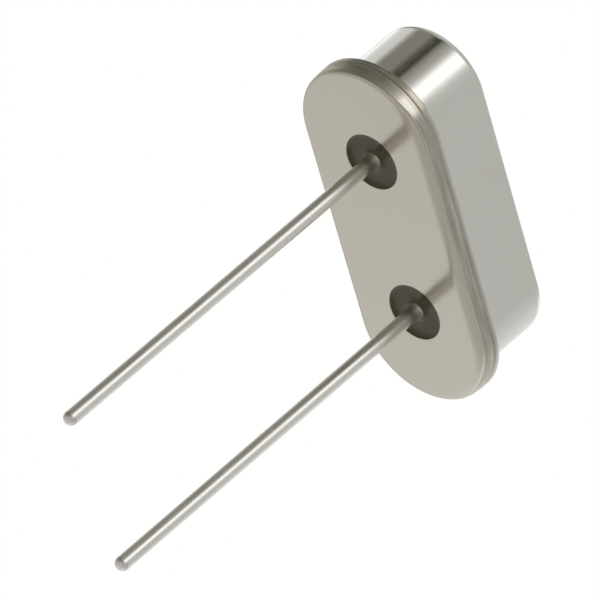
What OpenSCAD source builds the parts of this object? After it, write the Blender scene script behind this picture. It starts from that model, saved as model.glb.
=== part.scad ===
// Low-profile two-lead quartz crystal unit in a resistance-welded metal can.
// Millimetres. The origin is the centre of the header's flat underside, which
// seats on the board. +Z points away from the board, X runs through both leads.

/* [Leads] */
// Distance between the two lead centres
lead_pitch = 4.88; // [4.6:0.02:5.1]
// Lead diameter
lead_d = 0.43; // [0.38:0.01:0.5]
// Left lead, from the underside of the header to its tip
lead_len_left = 13.4; // [4:0.1:20]
// Right lead, from the underside of the header to its tip
lead_len_right = 13.1; // [4:0.1:20]
// Rounding at the lead tips
tip_r = 0.18; // [0.05:0.01:0.2]
// How much thinner the bare wire is at its head than the plated lead
plating = 0.02; // [0.01:0.005:0.03]
// Diameter of the flattened lead head inside the can
head_d = 0.84; // [0.7:0.02:1.0]
// Thickness of the flattened lead head
head_t = 0.12; // [0.08:0.01:0.16]

/* [Header] */
// Length of the weld flange along X
flange_l = 10.72; // [10.4:0.02:11.1]
// Width of the weld flange along Y
flange_w = 4.40; // [4.2:0.02:4.65]
// Thickness of the header's rim
header_t = 0.43; // [0.35:0.01:0.5]
// Height of the plateau's top above the underside
plateau_z = 0.85; // [0.75:0.01:0.9]
// Gap between the plateau and the wall of the can
plateau_gap = 0.12; // [0.08:0.01:0.2]
// Rounding of the header's lower outer edge
header_edge_r = 0.17; // [0.1:0.01:0.22]
// Diameter of the two glass-filled holes
seal_d = 1.74; // [1.5:0.02:1.8]

/* [Glass seals] */
// How far the glass lies back from the header's faces at the hole
seal_recess = 0.03; // [0.02:0.01:0.06]
// Depth of the hollow of each glass face between the hole and the lead
seal_dish = 0.10; // [0.05:0.01:0.14]

/* [Cover] */
// Width of the can above the flange
cover_w = 3.55; // [3.4:0.01:3.7]
// Height from the header's underside to the top of the can
overall_h = 3.24; // [3.2:0.01:3.5]
// Sheet thickness of the can
wall_t = 0.20; // [0.15:0.01:0.22]
// Thickness of the can's weld flange
cover_flange_t = 0.25; // [0.2:0.01:0.3]
// Rounding of the can's top edge
top_r = 0.30; // [0.25:0.01:0.4]
// Fillet between the can's wall and its flange
flange_fillet_r = 0.10; // [0.05:0.01:0.15]
// Rounding of the flange's outer edges
flange_edge_r = 0.05; // [0.03:0.01:0.08]

/* [Resonator] */
// Length of the quartz strip
quartz_l = 8.0; // [7.6:0.05:8.2]
// Height of the quartz strip, standing on edge
quartz_h = 1.70; // [1.5:0.02:1.72]
// Thickness of the quartz strip
quartz_t = 0.20; // [0.12:0.01:0.22]
// Length of each electrode
electrode_l = 4.6; // [3.6:0.1:5.2]
// Height of each electrode
electrode_h = 1.20; // [0.9:0.02:1.3]
// Drawn thickness of the electrode film
electrode_t = 0.02; // [0.02:0.005:0.03]
// Height of the electrode's tab
tab_h = 0.50; // [0.3:0.02:0.6]

/* [Mounting clips] */
// Sheet thickness of the spring clips
clip_t = 0.08; // [0.06:0.01:0.1]
// Width of the clips
clip_w = 1.20; // [1.0:0.02:1.4]
// Height of the clip's upright above its foot's underside
clip_h = 1.66; // [1.4:0.02:1.7]
// Width of the slot that takes the strip's end
slot_w = 0.26; // [0.26:0.01:0.32]
// Length of the strip that reaches past the clip's upright
overhang = 0.08; // [0.04:0.01:0.12]
// Radius of the conductive adhesive bead
bead_r = 0.30; // [0.2:0.01:0.34]
// Height of the conductive adhesive bead
bead_h = 0.90; // [0.6:0.02:1.0]

/* [Hidden] */
$fn = 64;

half_straight = (flange_l - flange_w) / 2;   // the can and the flange share it
lead_r = lead_d / 2;
neck_r = lead_r - plating / 2;               // bare wire under the lead heads
seal_r = seal_d / 2;
flange_r = flange_w / 2;
cover_r = cover_w / 2;
inner_r = cover_r - wall_t;
plateau_r = inner_r - plateau_gap;
flange_top = header_t + cover_flange_t;
head_z = plateau_z + 0.05;                   // underside of the lead heads
foot_z = head_z + head_t;                    // underside of the clips' feet
slot_z = foot_z + clip_t + 0.10;             // bottom of the clips' slots
upright_x = quartz_l / 2 - overhang;         // outer face of the uprights
bead_z = slot_z + quartz_h / 2;              // mid-height of strip and beads
steel = [0.70, 0.69, 0.65];
nickel = [0.74, 0.73, 0.69];
glass_col = [0.22, 0.18, 0.13];

// A solid with a pill-shaped plan. The child is half of its cross-section:
// x is the distance from the long centre plane, y is the height.
module pill() {
    for (s = [-1, 1])
        translate([s * half_straight, 0, 0])
            rotate([0, 0, -90 * s]) rotate_extrude(angle = 180) children();
    rotate([90, 0, 90]) translate([0, 0, -half_straight])
        linear_extrude(2 * half_straight) { children(); mirror([1, 0]) children(); }
}

// What a rounding of radius r takes off a corner whose sides face dx and dy.
module corner_cut(x, y, r, dx, dy) {
    translate([x - dx * r, y - dy * r]) difference() {
        translate([dx > 0 ? 0 : -2 * r, dy > 0 ? 0 : -2 * r]) square(2 * r);
        circle(r);
    }
}

// What a fillet of radius r adds in an inner corner open towards dx and dy.
module corner_fill(x, y, r, dx, dy) {
    translate([x, y]) difference() {
        translate([dx > 0 ? 0 : -r, dy > 0 ? 0 : -r]) square(r);
        translate([dx * r, dy * r]) circle(r);
    }
}

// Deep-drawn can with its weld flange, open at the bottom.
module can_cover() {
    color(nickel) pill() {
        difference() {
            union() {
                translate([inner_r, header_t]) square([flange_r - inner_r, cover_flange_t]);
                translate([inner_r, header_t]) square([wall_t, overall_h - header_t]);
                translate([0, overall_h - wall_t]) square([cover_r, wall_t]);
                corner_fill(cover_r, flange_top, flange_fillet_r, 1, 1);
            }
            corner_cut(cover_r, overall_h, top_r, 1, 1);
            corner_cut(flange_r, flange_top, flange_edge_r, 1, 1);
            corner_cut(flange_r, header_t, flange_edge_r, 1, -1);
        }
        corner_fill(inner_r, overall_h - wall_t, top_r - wall_t + 0.05, -1, -1);
    }
}

// Stamped header: a flat rim with a plateau that reaches into the can.
module header_base() {
    color(steel) difference() {
        pill() difference() {
            union() {
                square([flange_r, header_t]);
                square([plateau_r, plateau_z]);
            }
            corner_cut(flange_r, 0, header_edge_r, 1, -1);
            corner_cut(flange_r, header_t, flange_edge_r, 1, 1);
            corner_cut(plateau_r, plateau_z, 0.08, 1, 1);
        }
        for (s = [-1, 1]) translate([s * lead_pitch / 2, 0, -1])
            cylinder(d = seal_d, h = plateau_z + 2);
    }
}

// Radius of the wire at height z: the plating runs out between the underside
// and the head.
function wire_r(z) = lead_r + (neck_r - lead_r) * max(0, z) / head_z;

// Glass that seals one lead in its hole, dished at both faces.
module glass_seal(side) {
    z0 = seal_recess;
    z1 = plateau_z - seal_recess;
    mid = (seal_r + lead_r) / 2;
    half = (seal_r - lead_r) / 2;
    dish_r = (half * half + seal_dish * seal_dish) / (2 * seal_dish);
    color(glass_col) translate([side * lead_pitch / 2, 0, 0]) rotate_extrude()
        difference() {
            polygon([[wire_r(z0), z0], [seal_r, z0], [seal_r, z1], [wire_r(z1), z1]]);
            translate([mid, z0 + seal_dish - dish_r]) circle(dish_r);
            translate([mid, z1 - seal_dish + dish_r]) circle(dish_r);
        }
}
module glass_seal_left() { glass_seal(-1); }
module glass_seal_right() { glass_seal(1); }

// Round lead with a rounded tip below and a flattened head above.
module lead(side, len) {
    color(nickel) translate([side * lead_pitch / 2, 0, 0]) rotate_extrude()
        difference() {
            union() {
                translate([0, -len]) square([lead_r, len]);
                polygon([[0, 0], [lead_r, 0], [neck_r, head_z], [0, head_z]]);
                translate([0, head_z]) square([head_d / 2, head_t]);
            }
            corner_cut(lead_r, -len, tip_r, 1, -1);
        }
}
module lead_left() { lead(-1, lead_len_left); }
module lead_right() { lead(1, lead_len_right); }

// Bent strip: a foot welded on the lead's head and a slotted upright.
module spring_clip(side) {
    foot_in = lead_pitch / 2 - head_d / 2 - 0.02;
    color(steel) mirror([side > 0 ? 0 : 1, 0, 0]) difference() {
        union() {
            translate([foot_in, -clip_w / 2, foot_z])
                cube([upright_x - foot_in, clip_w, clip_t]);
            translate([upright_x - clip_t, -clip_w / 2, foot_z])
                cube([clip_t, clip_w, clip_h]);
        }
        translate([upright_x - 2 * clip_t, -slot_w / 2, slot_z])
            cube([4 * clip_t, slot_w, clip_h]);
    }
}
module spring_clip_left() { spring_clip(-1); }
module spring_clip_right() { spring_clip(1); }

// Strip of quartz, standing on edge between the clips.
module quartz_blank() {
    color([0.86, 0.90, 0.93]) translate([-quartz_l / 2, -quartz_t / 2, slot_z])
        cube([quartz_l, quartz_t, quartz_h]);
}

// Metal film on one broad face of the strip, with a tab to one clip.
module electrode(face) {
    y0 = face < 0 ? -quartz_t / 2 - electrode_t : quartz_t / 2;
    tab_end = upright_x - clip_t - 0.04;
    color([0.80, 0.80, 0.80]) {
        translate([-electrode_l / 2, y0, bead_z - electrode_h / 2])
            cube([electrode_l, electrode_t, electrode_h]);
        translate([face < 0 ? -tab_end : electrode_l / 2, y0, bead_z - tab_h / 2])
            cube([tab_end - electrode_l / 2, electrode_t, tab_h]);
    }
}
module electrode_front() { electrode(-1); }
module electrode_back() { electrode(1); }

// Conductive adhesive around the strip's end and the clip's upright.
module adhesive(side) {
    color([0.62, 0.62, 0.60]) difference() {
        translate([side * (upright_x - clip_t / 2), 0, bead_z - bead_h / 2])
            cylinder(r = bead_r, h = bead_h);
        spring_clip(side);
        quartz_blank();
        electrode(side);
    }
}
module adhesive_left() { adhesive(-1); }
module adhesive_right() { adhesive(1); }

can_cover();
header_base();
glass_seal_left();
glass_seal_right();
lead_left();
lead_right();
spring_clip_left();
spring_clip_right();
quartz_blank();
electrode_front();
electrode_back();
adhesive_left();
adhesive_right();
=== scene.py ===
import math

import bmesh
import bpy
from mathutils import Matrix, Vector
from mathutils.geometry import delaunay_2d_cdt


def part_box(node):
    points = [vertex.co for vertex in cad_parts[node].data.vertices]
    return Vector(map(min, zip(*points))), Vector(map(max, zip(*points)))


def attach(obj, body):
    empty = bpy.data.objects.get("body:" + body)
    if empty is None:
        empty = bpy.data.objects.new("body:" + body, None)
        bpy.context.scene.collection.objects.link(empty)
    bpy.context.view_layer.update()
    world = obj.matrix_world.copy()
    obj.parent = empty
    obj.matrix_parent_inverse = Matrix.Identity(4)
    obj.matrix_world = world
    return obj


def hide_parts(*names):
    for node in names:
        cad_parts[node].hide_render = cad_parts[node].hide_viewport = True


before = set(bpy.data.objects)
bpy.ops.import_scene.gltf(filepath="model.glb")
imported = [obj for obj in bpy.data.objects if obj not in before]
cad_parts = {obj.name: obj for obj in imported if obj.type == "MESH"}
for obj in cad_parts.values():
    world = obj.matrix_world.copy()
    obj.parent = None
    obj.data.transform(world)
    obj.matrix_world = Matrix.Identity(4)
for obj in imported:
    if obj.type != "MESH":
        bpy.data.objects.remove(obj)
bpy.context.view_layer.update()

MM = 0.001

# ------------------------------------------------------------------ the frame
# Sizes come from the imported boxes, so a new pack moves every piece with it.


def size(node):
    lo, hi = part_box(node)
    return Vector(lo) / MM, Vector(hi) / MM


can_lo, can_hi = size("can_cover")
head_lo, head_hi = size("header_base")
lead_lo, lead_hi = size("lead_left")
lead2_lo, lead2_hi = size("lead_right")
seal_lo, seal_hi = size("glass_seal_left")
flange_r = (can_hi.y - can_lo.y) / 2
half = (can_hi.x - can_lo.x) / 2 - flange_r      # half of the straight length
top = can_hi.z
rim = can_lo.z                                   # where header and can meet
plateau = head_hi.z
pitch = (size("lead_right")[1].x + size("lead_right")[0].x) / 2 * 2
seal_r = (seal_hi.x - seal_lo.x) / 2
lead_top = lead_hi.z
head_r = (lead_hi.x - lead_lo.x) / 2
FLANGE_T, COVER_R, WALL, LEAD_R = 0.25, 1.775, 0.20, 0.215
flange_top = rim + FLANGE_T
inner_r = COVER_R - WALL

# ---------------------------------------------------------------- mesh tools
# A profile is a list of smooth runs. A run is a list of (r, z, nr, nz): a point
# of the half section and its outward normal, so that flats shade flat and
# roundings shade round whatever the number of faces.


def line(r0, z0, r1, z1, n=1):
    """A straight run, with the outward side on the right of its direction."""
    dr, dz = r1 - r0, z1 - z0
    d = math.hypot(dr, dz)
    nr, nz = dz / d, -dr / d
    return [
        (r0 + dr * i / n, z0 + dz * i / n, nr, nz) for i in range(n + 1)
    ]


def arc(cr, cz, rad, a0, a1, n=8, hollow=False):
    """An arc about (cr, cz), in degrees. hollow: the metal is on the outside."""
    out = []
    s = -1 if hollow else 1
    for i in range(n + 1):
        a = math.radians(a0 + (a1 - a0) * i / n)
        c, k = math.cos(a), math.sin(a)
        out.append((cr + rad * c, cz + rad * k, s * c, s * k))
    return out


def joined(*parts):
    """Several tangent stretches as one smooth run."""
    out = list(parts[0])
    for p in parts[1:]:
        out += p[1:]
    return out


def pill_path(n=60, m=14):
    """(centre x, centre y, direction) all round a pill shape."""
    out = [(half, 0, -90 + 180 * i / n) for i in range(n + 1)]
    out += [(half - 2 * half * i / m, 0, 90) for i in range(1, m)]
    out += [(-half, 0, 90 + 180 * i / n) for i in range(n + 1)]
    out += [(-half + 2 * half * i / m, 0, 270) for i in range(1, m)]
    return out


def round_path(x, y, n=64):
    return [(x, y, 360 * i / n) for i in range(n)]


class Build:
    """Collects faces with a normal at each corner, then makes one object."""

    def __init__(self):
        self.index, self.verts, self.faces, self.normals = {}, [], [], []
        self.slots = []

    def vert(self, p):
        key = tuple(round(c * 1e5) for c in p)
        if key not in self.index:
            self.index[key] = len(self.verts)
            self.verts.append(Vector(p) * MM)
        return self.index[key]

    def face(self, corners, slot=0):
        """corners: [(point, normal), ...], turned round if they face inwards."""
        ids, nor = [], []
        for p, n in corners:
            i = self.vert(p)
            if i not in ids:
                ids.append(i)
                nor.append(Vector(n).normalized())
        if len(ids) < 3:
            return
        v = [self.verts[i] for i in ids]
        flat = Vector((0, 0, 0))
        for a, b in zip(v, v[1:] + v[:1]):
            flat += a.cross(b)
        if flat.length < 1e-16:
            return
        if flat.dot(sum(nor, Vector((0, 0, 0)))) < 0:
            ids.reverse()
            nor.reverse()
        self.faces.append(ids)
        self.normals.append(nor)
        self.slots.append(slot)

    def sweep(self, runs, path, slot=0):
        """Sweeps each smooth run round the closed path.

        A run can also be a function of (centre x, direction) that gives one.
        """
        for run in runs:
            rings = []
            for cx, cy, deg in path:
                c, s = math.cos(math.radians(deg)), math.sin(math.radians(deg))
                rings.append(
                    [
                        ((cx + r * c, cy + r * s, z), (nr * c, nr * s, nz))
                        for r, z, nr, nz in (run(cx, deg) if callable(run) else run)
                    ]
                )
            for a, b in zip(rings, rings[1:] + rings[:1]):
                for i in range(len(a) - 1):
                    self.face([a[i], b[i], b[i + 1], a[i + 1]], slot)

    def plate(self, outer, holes, z, up, slot=0):
        """A flat face inside the outer loop, with round holes in it."""
        pts, edges = [], []
        for loop in [outer] + holes:
            k = len(pts)
            pts += [Vector(p) for p in loop]
            edges += [(k + i, k + (i + 1) % len(loop)) for i in range(len(loop))]
        v, _, f, *_ = delaunay_2d_cdt(pts, edges, [], 0, 1e-7)
        centres = [
            (sum((Vector(p) for p in h), Vector((0, 0))) / len(h)) for h in holes
        ]
        radii = [(Vector(h[0]) - c).length for h, c in zip(holes, centres)]
        n = (0, 0, 1 if up else -1)
        for tri in f:
            mid = sum((v[i] for i in tri), Vector((0, 0))) / len(tri)
            if any((mid - c).length < r * 0.999 for c, r in zip(centres, radii)):
                continue
            self.face([((v[i].x, v[i].y, z), n) for i in tri], slot)

    def make(self, name):
        mesh = bpy.data.meshes.new(name)
        mesh.from_pydata([tuple(v) for v in self.verts], [], self.faces)
        mesh.polygons.foreach_set("use_smooth", [True] * len(mesh.polygons))
        mesh.polygons.foreach_set("material_index", self.slots)
        mesh.update()
        mesh.normals_split_custom_set(
            [tuple(n) for face in self.normals for n in face]
        )
        obj = bpy.data.objects.new(name, mesh)
        bpy.context.scene.collection.objects.link(obj)
        return obj


def loop_xy(path, r):
    return [
        (
            cx + r * math.cos(math.radians(d)),
            cy + r * math.sin(math.radians(d)),
        )
        for cx, cy, d in path
    ]


# ----------------------------------------------------------------- materials


class Nodes:
    """Short hands for a material's nodes."""

    def __init__(self, name):
        self.mat = bpy.data.materials.new(name)
        self.mat.use_nodes = True
        self.t = self.mat.node_tree
        self.t.nodes.clear()
        self.out = self.t.nodes.new("ShaderNodeOutputMaterial")
        self.shader = self.t.nodes.new("ShaderNodeBsdfPrincipled")
        self.t.links.new(self.shader.outputs[0], self.out.inputs[0])
        self.coord = self.t.nodes.new("ShaderNodeTexCoord").outputs["Object"]

    def link(self, a, b):
        self.t.links.new(a, b)

    def new(self, kind, **values):
        n = self.t.nodes.new(kind)
        for k, v in values.items():
            if hasattr(n, k):
                setattr(n, k, v)
            else:
                n.inputs[k.replace("_", " ")].default_value = v
        return n

    def scaled(self, x=1, y=1, z=1):
        """Object coordinates stretched on each axis."""
        m = self.new("ShaderNodeMapping")
        m.inputs["Scale"].default_value = (x, y, z)
        self.link(self.coord, m.inputs["Vector"])
        return m.outputs[0]

    def noise(self, scale, detail=3.0, rough=0.55, vector=None):
        """Noise whose features are about 1/scale metres across."""
        n = self.new("ShaderNodeTexNoise")
        n.inputs["Scale"].default_value = scale
        n.inputs["Detail"].default_value = detail
        n.inputs["Roughness"].default_value = rough
        self.link(vector if vector is not None else self.coord, n.inputs["Vector"])
        return n.outputs["Fac"]

    def ramp(self, fac, stops, smooth=False):
        """stops: [(position, grey or colour), ...]"""
        r = self.new("ShaderNodeValToRGB")
        r.color_ramp.interpolation = "EASE" if smooth else "LINEAR"
        e = r.color_ramp.elements
        while len(e) > 1:
            e.remove(e[-1])
        for i, (p, c) in enumerate(stops):
            s = e[0] if i == 0 else e.new(p)
            s.position = p
            s.color = (c, c, c, 1) if isinstance(c, (int, float)) else (*c, 1)
        self.link(fac, r.inputs[0])
        return r.outputs[0]

    def spread(self, fac, lo, hi, from_lo=0.3, from_hi=0.7):
        m = self.new("ShaderNodeMapRange")
        m.inputs["From Min"].default_value = from_lo
        m.inputs["From Max"].default_value = from_hi
        m.inputs["To Min"].default_value = lo
        m.inputs["To Max"].default_value = hi
        self.link(fac, m.inputs["Value"])
        return m.outputs[0]

    def maths(self, op, a, b=None):
        m = self.new("ShaderNodeMath")
        m.operation = op
        for i, v in enumerate((a, b)):
            if v is None:
                continue
            if isinstance(v, (int, float)):
                m.inputs[i].default_value = v
            else:
                self.link(v, m.inputs[i])
        return m.outputs[0]

    def mix(self, fac, a, b):
        m = self.new("ShaderNodeMix")
        m.data_type = "RGBA"
        for k, v in ((0, fac), (6, a), (7, b)):
            if isinstance(v, tuple):
                m.inputs[k].default_value = (*v, 1)
            elif isinstance(v, (int, float)):
                m.inputs[k].default_value = v
            else:
                self.link(v, m.inputs[k])
        return m.outputs[2]

    def bump(self, height, microns, under=None):
        """Bump whose full height is that many thousandths of a millimetre."""
        b = self.new("ShaderNodeBump")
        b.inputs["Strength"].default_value = 1.0
        b.inputs["Distance"].default_value = microns * 1e-6
        self.link(height, b.inputs["Height"])
        if under is not None:
            self.link(under, b.inputs["Normal"])
        return b.outputs[0]

    def height_mm(self):
        """Height above the header's underside, in millimetres."""
        s = self.new("ShaderNodeSeparateXYZ")
        self.link(self.coord, s.inputs[0])
        return self.maths("MULTIPLY", s.outputs["Z"], 1000.0)

    def along_x(self):
        """Distance along the can, in millimetres."""
        s = self.new("ShaderNodeSeparateXYZ")
        self.link(self.coord, s.inputs[0])
        return self.maths("MULTIPLY", s.outputs["X"], 1000.0)

    def band(self, value, lo, hi, soft):
        """1 between lo and hi, fading to 0 over soft on each side."""
        a = self.spread(value, 0, 1, lo - soft, lo)
        b = self.spread(value, 1, 0, hi, hi + soft)
        return self.maths("MULTIPLY", a, b)


def can_metal(edge=False):
    """The can's plating. edge: the flange's cut edge, duller, tan-tinted and darkened
    by painted shade at the -X end.
    """
    n = Nodes("flange_edge" if edge else "nickel_plated_can")
    s = n.shader
    s.inputs["Metallic"].default_value = 1.0
    cloud = n.noise(420, 2, 0.5)
    grain = n.noise(9000, 4, 0.6)
    drawn = n.noise(2600, 3, 0.6, n.scaled(1, 1, 0.05))
    colour = n.mix(
        n.spread(cloud, 0, 1),
        (0.715, 0.703, 0.655),
        (0.735, 0.727, 0.690),
    )
    z = n.height_mm()
    if edge:
        s.inputs["Specular Tint"].default_value = (0.86, 0.85, 0.82, 1)
        # a darker tan patch on the -X end, over the strip light's highlight: partly a
        # tan tint, partly painted shade that dims the highlight
        tan_and_shade = n.maths(
            "MULTIPLY",
            n.band(n.along_x(), -4.95, -4.22, 0.2),
            n.spread(n.noise(1500, 3), 0.7, 1.0),
        )
        colour = n.mix(tan_and_shade, colour, (0.43, 0.385, 0.31))
        # painted shade: the top corner of the -X end is darkened to a dull brown
        brown = n.maths(
            "MULTIPLY",
            n.spread(n.along_x(), 1.0, 0.0, -4.9, -4.1),
            n.spread(z, 0.0, 1.0, flange_top - 0.11, flange_top - 0.01),
        )
        colour = n.mix(brown, colour, (0.31, 0.285, 0.24))
    seam, colour = rim_tint(n, colour, z, rim - 0.02, rim + 0.06, 0.06)
    streaks = n.noise(5200, 4, 0.6, n.scaled(0.10, 0.10, 1))
    side = n.spread(z, 1, 0, flange_top - 0.02, flange_top + 0.05)
    n.link(colour, s.inputs["Base Color"])
    rough = n.maths(
        "ADD",
        n.spread(grain, 0.085, 0.125),
        n.maths("MULTIPLY", seam, 0.16),
    )
    n.link(rough, s.inputs["Roughness"])
    b = n.bump(drawn, 0.25)
    b = n.bump(n.maths("MULTIPLY", streaks, side), 3.0, b)
    b = n.bump(n.noise(700, 2, 0.4), 0.9, b)
    b = n.bump(grain, 0.05, b)
    n.link(b, s.inputs["Normal"])
    return n.mat


def rim_tint(n, colour, z, lo, hi, soft):
    """The weld's heat: olive to straw brown, blotchy, and more at the -X end."""
    band = n.band(z, lo, hi, soft)
    blotch = n.spread(n.noise(900, 3), 0.35, 0.85)
    hot = n.maths(
        "MULTIPLY",
        n.spread(n.along_x(), 1.0, 0.15, -4.2, -2.4),
        n.spread(n.noise(650, 2), 0.4, 1.0),
    )
    tint = n.mix(hot, (0.40, 0.38, 0.325), (0.42, 0.34, 0.25))
    return band, n.mix(n.maths("MULTIPLY", band, blotch), colour, tint)


def header_metal():
    n = Nodes("stamped_header_plate")
    s = n.shader
    s.inputs["Metallic"].default_value = 1.0
    cloud = n.noise(300, 2, 0.5)
    grain = n.noise(7000, 4, 0.65)
    streaks = n.noise(5200, 4, 0.6, n.scaled(0.10, 0.10, 1))
    colour = n.mix(
        n.spread(cloud, 0, 1),
        (0.690, 0.643, 0.548),
        (0.680, 0.648, 0.566),
    )
    # painted light: the face is made a little brighter towards the +X end
    colour = n.mix(
        n.spread(n.along_x(), 0, 1, -4.0, 5.0), colour, (0.735, 0.695, 0.610)
    )
    z = n.height_mm()
    # the rim's side is darker than the face, and streaked along the rim
    edge = n.spread(z, 0, 1, 0.05, 0.16)
    side_tone = n.mix(
        n.spread(streaks, 0, 1, 0.35, 0.65), (0.50, 0.47, 0.41), (0.70, 0.67, 0.60)
    )
    colour = n.mix(edge, colour, side_tone)
    seam, colour = rim_tint(n, colour, z, rim - 0.004, rim + 0.02, 0.012)
    s.inputs["Specular Tint"].default_value = (0.86, 0.85, 0.82, 1)
    n.link(colour, s.inputs["Base Color"])
    rough = n.maths(
        "ADD", n.spread(grain, 0.15, 0.20), n.maths("MULTIPLY", seam, 0.14)
    )
    n.link(rough, s.inputs["Roughness"])
    b = n.bump(n.noise(520, 2, 0.4), 0.8)
    b = n.bump(n.maths("MULTIPLY", streaks, edge), 4.0, b)
    b = n.bump(grain, 0.08, b)
    n.link(b, s.inputs["Normal"])
    return n.mat


def lead_metal():
    n = Nodes("tinned_lead_wire")
    s = n.shader
    s.inputs["Metallic"].default_value = 1.0
    lines = n.noise(9000, 4, 0.6, n.scaled(1, 1, 0.012))
    blotch = n.noise(1400, 3, 0.6, n.scaled(1, 1, 0.4))
    colour = n.mix(
        n.spread(blotch, 0, 1),
        (0.800, 0.785, 0.742),
        (0.865, 0.855, 0.815),
    )
    n.link(colour, s.inputs["Base Color"])
    n.link(n.spread(blotch, 0.26, 0.35), s.inputs["Roughness"])
    b = n.bump(lines, 0.35)
    b = n.bump(n.noise(3000, 3, 0.5), 0.35, b)
    n.link(b, s.inputs["Normal"])
    return n.mat


def seal_glass():
    n = Nodes("dark_seal_glass")
    s = n.shader
    cloud = n.noise(2600, 3, 0.6)
    colour = n.mix(
        n.spread(cloud, 0, 1), (0.035, 0.023, 0.010), (0.047, 0.031, 0.016)
    )
    n.link(colour, s.inputs["Base Color"])
    s.inputs["IOR"].default_value = 1.66
    s.inputs["Specular Tint"].default_value = (1.0, 0.93, 0.69, 1)
    n.link(n.spread(n.noise(5200, 3), 0.08, 0.18), s.inputs["Roughness"])
    b = n.bump(n.noise(2200, 3, 0.5), 3.5)
    n.link(b, s.inputs["Normal"])
    return n.mat


def clip_metal():
    n = Nodes("clip_strip")
    s = n.shader
    s.inputs["Metallic"].default_value = 1.0
    rolled = n.noise(5000, 3, 0.6, n.scaled(0.08, 1, 1))
    n.link(
        n.mix(n.spread(rolled, 0, 1), (0.60, 0.59, 0.56), (0.68, 0.67, 0.64)),
        s.inputs["Base Color"],
    )
    n.link(n.spread(rolled, 0.22, 0.38), s.inputs["Roughness"])
    n.link(n.bump(rolled, 0.4), s.inputs["Normal"])
    return n.mat


def quartz_glass():
    n = Nodes("lapped_quartz")
    s = n.shader
    lap = n.noise(16000, 3, 0.7)
    n.link(
        n.mix(n.spread(lap, 0, 1), (0.86, 0.89, 0.91), (0.93, 0.95, 0.96)),
        s.inputs["Base Color"],
    )
    s.inputs["IOR"].default_value = 1.54
    s.inputs["Transmission Weight"].default_value = 0.75
    n.link(n.spread(lap, 0.28, 0.42), s.inputs["Roughness"])
    n.link(n.bump(lap, 0.8), s.inputs["Normal"])
    return n.mat


def silver_film():
    n = Nodes("silver_film")
    s = n.shader
    s.inputs["Metallic"].default_value = 1.0
    cloud = n.noise(1500, 3)
    n.link(
        n.mix(n.spread(cloud, 0, 1), (0.86, 0.85, 0.82), (0.92, 0.91, 0.89)),
        s.inputs["Base Color"],
    )
    n.link(n.spread(n.noise(16000, 3, 0.7), 0.25, 0.36), s.inputs["Roughness"])
    n.link(n.bump(n.noise(16000, 3, 0.7), 0.5), s.inputs["Normal"])
    return n.mat


def silver_adhesive():
    n = Nodes("silver_adhesive")
    s = n.shader
    flakes = n.noise(14000, 4, 0.7)
    n.link(
        n.mix(n.spread(flakes, 0, 1), (0.42, 0.42, 0.40), (0.64, 0.64, 0.62)),
        s.inputs["Base Color"],
    )
    n.link(n.spread(flakes, 0, 0.7), s.inputs["Metallic"])
    n.link(n.spread(flakes, 0.35, 0.6), s.inputs["Roughness"])
    n.link(n.bump(flakes, 6.0), s.inputs["Normal"])
    return n.mat


M_CAN, M_RIM = can_metal(), can_metal(edge=True)
M_HEADER, M_LEAD, M_GLASS = header_metal(), lead_metal(), seal_glass()
M_CLIP, M_QUARTZ, M_FILM, M_GLUE = (
    clip_metal(),
    quartz_glass(),
    silver_film(),
    silver_adhesive(),
)


def finish_piece(obj, node, slot, *mats):
    for mat in mats:
        obj.data.materials.append(mat)
    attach(obj, "root")
    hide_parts(node)
    return obj


# -------------------------------------------------------------- can and header
FINE = pill_path(72, 16)


def rim_edge(r_max, z0, z1, edge, lean0, lean1, roll=0.0, n=10):
    """A pressed rim from its flat face at z0 up to z1, where it is widest.

    The edge's rounding runs into a side that leans out by lean0 degrees at its
    foot and lean1 at the top. roll: how far in the flat face begins to roll off.
    """
    def lean(t):
        return math.radians(lean0 + (lean1 - lean0) * t)

    turn = math.radians(12 if roll else 0)
    base = z0 + roll * math.tan(turn / 2) - edge * (1 - math.cos(turn))
    # the leaning side, from the top down
    foot = base + edge * (1 - math.sin(math.radians(lean0)))
    side, r = [], r_max
    steps = 8
    for i in range(steps + 1):
        t = 1 - i / steps
        a = lean(t)
        side.append((r, foot + (z1 - foot) * t, math.cos(a), -math.sin(a)))
        r -= (z1 - foot) / steps * math.tan(lean(t - 0.5 / steps))
    side.reverse()
    # the rounding, and the slow roll-off of the face before it
    cr = side[0][0] - edge * math.cos(math.radians(lean0))
    round_run = arc(cr, base + edge, edge, math.degrees(turn) - 90, -lean0, n)
    slow = []
    for i in range(10 if roll else 0):
        t = i / 10
        a = turn * t
        slow.append(
            (
                round_run[0][0] - roll * (1 - t),
                z0 + roll * turn * t * t / 2,
                math.sin(a),
                -math.cos(a),
            )
        )
    return slow + round_run + side[1:]


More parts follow.
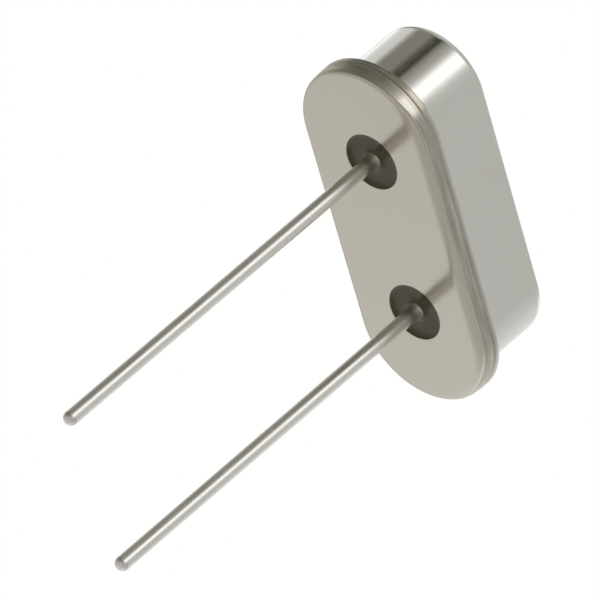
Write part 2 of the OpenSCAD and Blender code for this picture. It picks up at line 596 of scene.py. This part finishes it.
def build_can():
    b = Build()
    er, fr, tr = 0.045, 0.10, 0.30      # edge, flange fillet, top edge
    ir = tr - WALL + 0.05              # inside corner
    edge = joined(
        rim_edge(flange_r, rim, flange_top - er, 0.075, 9, 3),
        arc(flange_r - er, flange_top - er, er, -2, 90, 7),
    )
    outside = joined(
        line(flange_r - er, flange_top, COVER_R + fr, flange_top, 3),
        arc(COVER_R + fr, flange_top + fr, fr, 270, 180, 8, hollow=True),
        line(COVER_R, flange_top + fr, COVER_R, top - tr, 10),
        arc(COVER_R - tr, top - tr, tr, 0, 90, 14),
        line(COVER_R - tr, top, 0, top, 5),
    )
    inside = [
        line(0, top - WALL, inner_r - ir, top - WALL, 3),
        line(inner_r, top - WALL - ir, inner_r, rim, 6),
        line(inner_r, rim, flange_r - er, rim, 2),
    ]
    inside[0] = joined(
        [(r, z, 0, -1) for r, z, _, _ in inside[0]],
        arc(inner_r - ir, top - WALL - ir, ir, 90, 0, 6, hollow=True),
        [(r, z, -1, 0) for r, z, _, _ in inside[1]],
    )
    inside = [inside[0], [(r, z, 0, -1) for r, z, _, _ in inside[2]]]
    b.sweep([outside] + inside, FINE)
    b.sweep([edge], FINE, slot=1)
    return b.make("can_shell")


def build_header():
    b = Build()
    upper, step = 0.018, 0.08
    plateau_r = inner_r - 0.12
    hole_edge = 0.02

    def rim_run(lower, lean0, lean1, roll):
        return joined(
            [(flange_r - 0.46, 0.0, 0, -1)],
            rim_edge(
                flange_r - 0.002, 0.0, rim - upper, lower, lean0, lean1, roll=roll
            ),
            arc(flange_r - 0.002 - upper, rim - upper, upper, -3, 90, 7),
            line(flange_r - 0.002 - upper, rim, plateau_r, rim, 2),
        )

    # The stamping's face rolls off all round, but hardly at the -X end, and its
    # corner is sharper on the +Y side there.
    soft = rim_run(0.155, 7, 4, 0.27)
    flat = rim_run(0.110, 7, 4, 0.07)
    sharp = rim_run(0.070, 4.5, 3.5, 0.10)

    def ease(t, lo, hi):
        t = min(max((t - lo) / (hi - lo), 0), 1)
        return t * t * (3 - 2 * t)

    def blend(a, b, k):
        return [tuple(u + (v - u) * k for u, v in zip(p, q)) for p, q in zip(a, b)]

    def rimrun(cx, deg):
        c, s = math.cos(math.radians(deg)), math.sin(math.radians(deg))
        near = blend(soft, flat, ease(-c, 0.42, 0.74))
        k = ease(s, 0.05, 0.50) * min(max((2.7 - cx) / 5.9, 0), 1)
        return blend(near, sharp, k)

    side = joined(
        line(plateau_r, rim, plateau_r, plateau - step, 3),
        arc(plateau_r - step, plateau - step, step, 0, 90, 6),
    )
    b.sweep([rimrun, side], FINE)
    centres = [(-pitch / 2, 0), (pitch / 2, 0)]
    loops = []
    for x, y in centres:
        ring = round_path(x, y, 96)
        wall = joined(
            arc(seal_r + hole_edge, hole_edge, hole_edge, 270, 180, 5),
            [(seal_r, z, -1, 0) for z in (hole_edge, plateau / 2, plateau - hole_edge)],
            arc(seal_r + hole_edge, plateau - hole_edge, hole_edge, 180, 90, 5),
        )
        b.sweep([wall], ring)
        loops.append(loop_xy(ring, seal_r + hole_edge))
    b.plate(loop_xy(FINE, flange_r - 0.46), loops, 0.0, False)
    b.plate(loop_xy(FINE, plateau_r - step), loops, plateau, True)
    return b.make("header_plate")


can = finish_piece(build_can(), "can_cover", "can_metal", M_CAN, M_RIM)
header = finish_piece(build_header(), "header_base", "header_metal", M_HEADER)

# --------------------------------------------------------------- seals, leads


def curve_run(points, flip=False):
    """A smooth run through points, with normals from the neighbours."""
    out = []
    for i, (r, z) in enumerate(points):
        r0, z0 = points[max(i - 1, 0)]
        r1, z1 = points[min(i + 1, len(points) - 1)]
        d = math.hypot(r1 - r0, z1 - z0)
        nr, nz = (z1 - z0) / d, -(r1 - r0) / d
        out.append((r, z, -nr, -nz) if flip else (r, z, nr, nz))
    return out


def seal_surface(n=40):
    """Half section of the glass's lower face, from the lead out to the hole.

    It wets the lead and the hole's wall, so it climbs at both.
    """
    out = []
    r0 = LEAD_R - 0.006
    for i in range(n + 1):
        u = (i / n) ** 1.4
        r = r0 + (seal_r - r0) * u
        climb = 0.085 * math.exp(-max(r - LEAD_R, 0) / 0.055)
        wall = 0.040 * math.exp(-(seal_r - r) / 0.05)
        bowl = 0.012 * math.sin(math.pi * (r - LEAD_R) / (seal_r - LEAD_R))
        out.append((r, 0.085 + max(bowl, 0) - climb - wall))
    return out


def build_seal(name, x):
    b = Build()
    low = seal_surface()
    high = [(r, plateau - z) for r, z in low]
    b.sweep(
        [
            curve_run(low, flip=False),
            [(seal_r, low[-1][1], 1, 0), (seal_r, high[-1][1], 1, 0)],
            curve_run(high, flip=True),
            [(low[0][0], high[0][1], -1, 0), (low[0][0], low[0][1], -1, 0)],
        ],
        round_path(x, 0, 96),
    )
    return b.make(name)


def build_lead(name, x, low_z):
    b = Build()
    tr = 0.18
    flat = LEAD_R - tr
    # the tinning thickens a little where the wire leaves the glass
    foot, spread = 0.26, 0.055
    flare = []
    for i in range(13):
        t = i / 12
        slope = spread * 2.2 * t**1.2 / (foot + 0.06)
        d = math.hypot(1, slope)
        flare.append(
            (LEAD_R + spread * t**2.2, -foot + (foot + 0.06) * t, 1 / d, -slope / d)
        )
    tip = joined(
        line(0, low_z, flat, low_z, 2),
        arc(flat, low_z + tr, tr, -90, 0, 16),
        line(LEAD_R, low_z + tr, LEAD_R, -foot, 40),
        flare,
    )
    neck = LEAD_R - 0.01
    hz = lead_top - 0.12
    shelf = line(LEAD_R + spread, 0.06, LEAD_R, 0.06)
    upper = line(LEAD_R, 0.06, neck, hz - 0.04, 3)
    er = 0.035
    under = joined(
        arc(neck + 0.04, hz - 0.04, 0.04, 180, 90, 5, hollow=True),
        [(neck + 0.04, hz, 0, -1), (head_r - er, hz, 0, -1)],
        arc(head_r - er, hz + er, er, -90, 0, 5),
        line(head_r, hz + er, head_r, lead_top - er, 1),
        arc(head_r - er, lead_top - er, er, 0, 90, 5),
        line(head_r - er, lead_top, 0, lead_top, 3),
    )
    b.sweep([tip, shelf, upper, under], round_path(x, 0, 64))
    return b.make(name)


for side, x, lo in (("left", -pitch / 2, lead_lo.z), ("right", pitch / 2, lead2_lo.z)):
    finish_piece(
        build_seal(f"seal_{side}", x), f"glass_seal_{side}", "seal_glass", M_GLASS
    )
    finish_piece(
        build_lead(f"wire_{side}", x, lo), f"lead_{side}", "lead_metal", M_LEAD
    )

# ------------------------------------------------------- carried-over CAD nodes
for name, mat in (
    ("spring_clip_left", M_CLIP),
    ("spring_clip_right", M_CLIP),
    ("quartz_blank", M_QUARTZ),
    ("electrode_front", M_FILM),
    ("electrode_back", M_FILM),
    ("adhesive_left", M_GLUE),
    ("adhesive_right", M_GLUE),
):
    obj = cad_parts[name]
    if not obj.material_slots:
        obj.data.materials.append(mat)
    for s in obj.material_slots:
        s.link = "OBJECT"
        s.material = mat

# ---------------------------------------------------------------- the studio
scene = bpy.context.scene
scene.view_settings.view_transform = "Standard"
scene.view_settings.look = "None"

# A pale tent round the part, with one tall strip light, one black flag beside
# it and softer grey panels, all upright. Azimuths are in the part's frame,
# counter-clockwise from +X. (azimuth, brightness, warmth)
UPPER = [
    (-180, 0.045, 1.0),
    (-175, 0.07, 1.0),
    (-169, 0.26, 0.6),
    (-162, 0.37, 0.4),
    (-152, 0.50, 0.3),
    (-145, 0.78, 0.1),
    (-138, 1.38, 0.0),
    (-121, 1.50, 0.0),
    (-114, 1.05, 0.0),
    (-108, 0.76, 0.1),
    (-100, 0.63, 0.1),
    (-85, 0.59, 0.1),
    (-50, 0.60, 0.1),
    (-30, 0.68, 0.1),
    (0, 0.78, 0.1),
    (20, 0.84, 0.0),
    (38, 0.86, 0.0),
    (44, 0.75, 0.0),
    (50, 0.47, 0.0),
    (60, 0.47, 0.0),
    (67, 0.85, 0.0),
    (73, 1.22, 0.0),
    (80, 1.15, 0.0),
    (90, 1.00, 0.0),
    (98, 0.83, 0.0),
    (122, 0.82, 0.1),
    (130, 0.50, 0.2),
    (137, 0.27, 0.6),
    (163, 0.27, 0.6),
    (169, 0.16, 0.9),
    (175, 0.045, 1.0),
]
HORIZON = [
    (-180, 0.22, 0.8),
    (-165, 0.30, 0.6),
    (-150, 0.46, 0.3),
    (-141, 0.75, 0.1),
    (-135, 1.35, 0.0),
    (-112, 1.35, 0.0),
    (-106, 0.50, 0.1),
    (-98, 0.40, 0.3),
    (-60, 0.37, 0.4),
    (-40, 0.42, 0.3),
    (-20, 0.58, 0.1),
    (12, 0.80, 0.0),
    (34, 0.80, 0.0),
    (43, 0.74, 0.0),
    (50, 0.47, 0.0),
    (60, 0.45, 0.0),
    (78, 0.49, 0.2),
    (92, 0.51, 0.4),
    (102, 0.46, 0.4),
    (112, 0.36, 0.5),
    (122, 0.22, 0.6),
    (140, 0.16, 0.7),
    (160, 0.16, 0.8),
]
LOWER = [
    (-180, 0.17, 0.6),
    (-165, 0.22, 0.5),
    (-148, 0.32, 0.3),
    (-138, 0.36, 0.2),
    (-65, 0.37, 0.1),
    (-50, 0.44, 0.1),
    (-30, 0.60, 0.0),
    (-14, 0.80, 0.0),
    (18, 0.82, 0.0),
    (34, 0.73, 0.0),
    (45, 0.68, 0.0),
    (60, 0.675, 0.0),
    (75, 0.58, 0.1),
    (95, 0.46, 0.2),
    (120, 0.32, 0.4),
    (140, 0.23, 0.5),
    (165, 0.17, 0.6),
]


def tent():
    world = bpy.data.worlds.new("tent")
    scene.world = world
    world.use_nodes = True
    t = world.node_tree
    t.nodes.clear()
    new, link = t.nodes.new, t.links.new

    def maths(op, a, b=None, clamp=False):
        m = new("ShaderNodeMath")
        m.operation, m.use_clamp = op, clamp
        for i, v in enumerate((a, b)):
            if isinstance(v, (int, float)):
                m.inputs[i].default_value = v
            elif v is not None:
                link(v, m.inputs[i])
        return m.outputs[0]

    def ramp(fac, stops):
        r = new("ShaderNodeValToRGB")
        r.color_ramp.interpolation = "LINEAR"
        e = r.color_ramp.elements
        while len(e) > 1:
            e.remove(e[-1])
        ends = sorted(stops)
        first = ends[0]
        ends = ends + [(180, first[1], first[2])]
        for i, (az, g, warm) in enumerate(ends):
            p = (az + 180) / 360
            s = e[0] if i == 0 else e.new(p)
            s.position = p
            s.color = (g, g * (1 - 0.025 * warm), g * (1 - 0.22 * warm), 1)
        link(fac, r.inputs[0])
        return r.outputs[0]

    def mix(fac, a, b):
        m = new("ShaderNodeMix")
        m.data_type = "RGBA"
        for k, v in ((0, fac), (6, a), (7, b)):
            if isinstance(v, tuple):
                m.inputs[k].default_value = (*v, 1)
            else:
                link(v, m.inputs[k])
        return m.outputs[2]

    def step(value, lo, hi):
        m = new("ShaderNodeMapRange")
        m.interpolation_type = "SMOOTHSTEP"
        m.inputs["From Min"].default_value = min(lo, hi)
        m.inputs["From Max"].default_value = max(lo, hi)
        if lo > hi:
            m.inputs["To Min"].default_value = 1.0
            m.inputs["To Max"].default_value = 0.0
        link(value, m.inputs["Value"])
        return m.outputs[0]

    sep = new("ShaderNodeSeparateXYZ")
    link(new("ShaderNodeTexCoord").outputs["Generated"], sep.inputs[0])
    x, y, z = sep.outputs
    az = maths("ARCTAN2", y, x)
    fac = maths("ADD", maths("MULTIPLY", az, 1 / (2 * math.pi)), 0.5, True)
    walls = mix(step(z, -0.30, 0.04), ramp(fac, LOWER), ramp(fac, HORIZON))
    # a low shelf of light runs along the -Y side, just under the horizon
    shelf = maths(
        "MULTIPLY",
        maths("MULTIPLY", step(az, -2.65, -2.35), step(az, 0.3, 0.0)),
        maths("MULTIPLY", step(z, -0.46, -0.32), step(z, 0.04, -0.10)),
    )
    walls = mix(shelf, walls, (0.54, 0.53, 0.51))
    # the panels from azimuth 50 round to 180 hang higher than the others
    far = step(az, 0.85, 0.95)
    high = maths("MULTIPLY", far, step(z, 0.578, 0.590))
    usual = maths("MULTIPLY", maths("SUBTRACT", 1.0, far), step(z, 0.43, 0.575))
    walls = mix(maths("ADD", high, usual, True), walls, ramp(fac, UPPER))
    # above them the tent is in shade there, and lit at the +X end
    shade = maths("MULTIPLY", step(az, 0.95, 1.10), step(z, 0.605, 0.64))
    walls = mix(shade, walls, (0.34, 0.33, 0.30))
    glow = maths(
        "MULTIPLY",
        maths("MULTIPLY", step(az, -0.50, -0.15), step(az, 0.62, 0.45)),
        step(z, 0.605, 0.64),
    )
    walls = mix(glow, walls, (1.05, 1.05, 1.03))
    walls = mix(step(z, 0.72, 0.84), walls, (0.58, 0.58, 0.56))
    walls = mix(step(z, -0.615, -0.75), walls, (0.475, 0.465, 0.44))
    ray = new("ShaderNodeLightPath").outputs["Is Camera Ray"]
    studio, plain = new("ShaderNodeBackground"), new("ShaderNodeBackground")
    link(walls, studio.inputs["Color"])
    plain.inputs["Color"].default_value = (1.0, 1.0, 0.995, 1)
    both = new("ShaderNodeMixShader")
    link(ray, both.inputs[0])
    link(studio.outputs[0], both.inputs[1])
    link(plain.outputs[0], both.inputs[2])
    out = new("ShaderNodeOutputWorld")
    link(both.outputs[0], out.inputs[0])


tent()


def floor():
    """A pale round table far below the part."""
    bm = bmesh.new()
    bmesh.ops.create_circle(bm, cap_ends=True, segments=96, radius=0.25)
    mesh = bpy.data.meshes.new("floor")
    bm.to_mesh(mesh)
    bm.free()
    obj = bpy.data.objects.new("floor", mesh)
    obj.location = (0, 0, -0.95)
    bpy.context.scene.collection.objects.link(obj)
    n = Nodes("pale_floor")
    n.link(
        n.mix(n.noise(30, 2), (0.90, 0.90, 0.89), (0.93, 0.93, 0.92)),
        n.shader.inputs["Base Color"],
    )
    n.shader.inputs["Roughness"].default_value = 0.9
    obj.data.materials.append(n.mat)


floor()

# ---------------------------------------------------------------- the camera
cam = bpy.data.cameras.new("camera")
cam.sensor_width = 36.0
cam.lens = 1228.0
cam.clip_start, cam.clip_end = 0.01, 10.0
camera = bpy.data.objects.new("camera", cam)
right = Vector((0.241923, -0.753005, 0.611929))
down = Vector((0.837844, -0.155963, -0.523157))
ahead = Vector((0.489378, 0.639265, 0.593169))
m = Matrix((right, -down, -ahead)).transposed().to_4x4()
m.translation = Vector((-0.272142, -0.354918, -0.333293))
camera.matrix_world = m
scene.collection.objects.link(camera)
scene.camera = camera
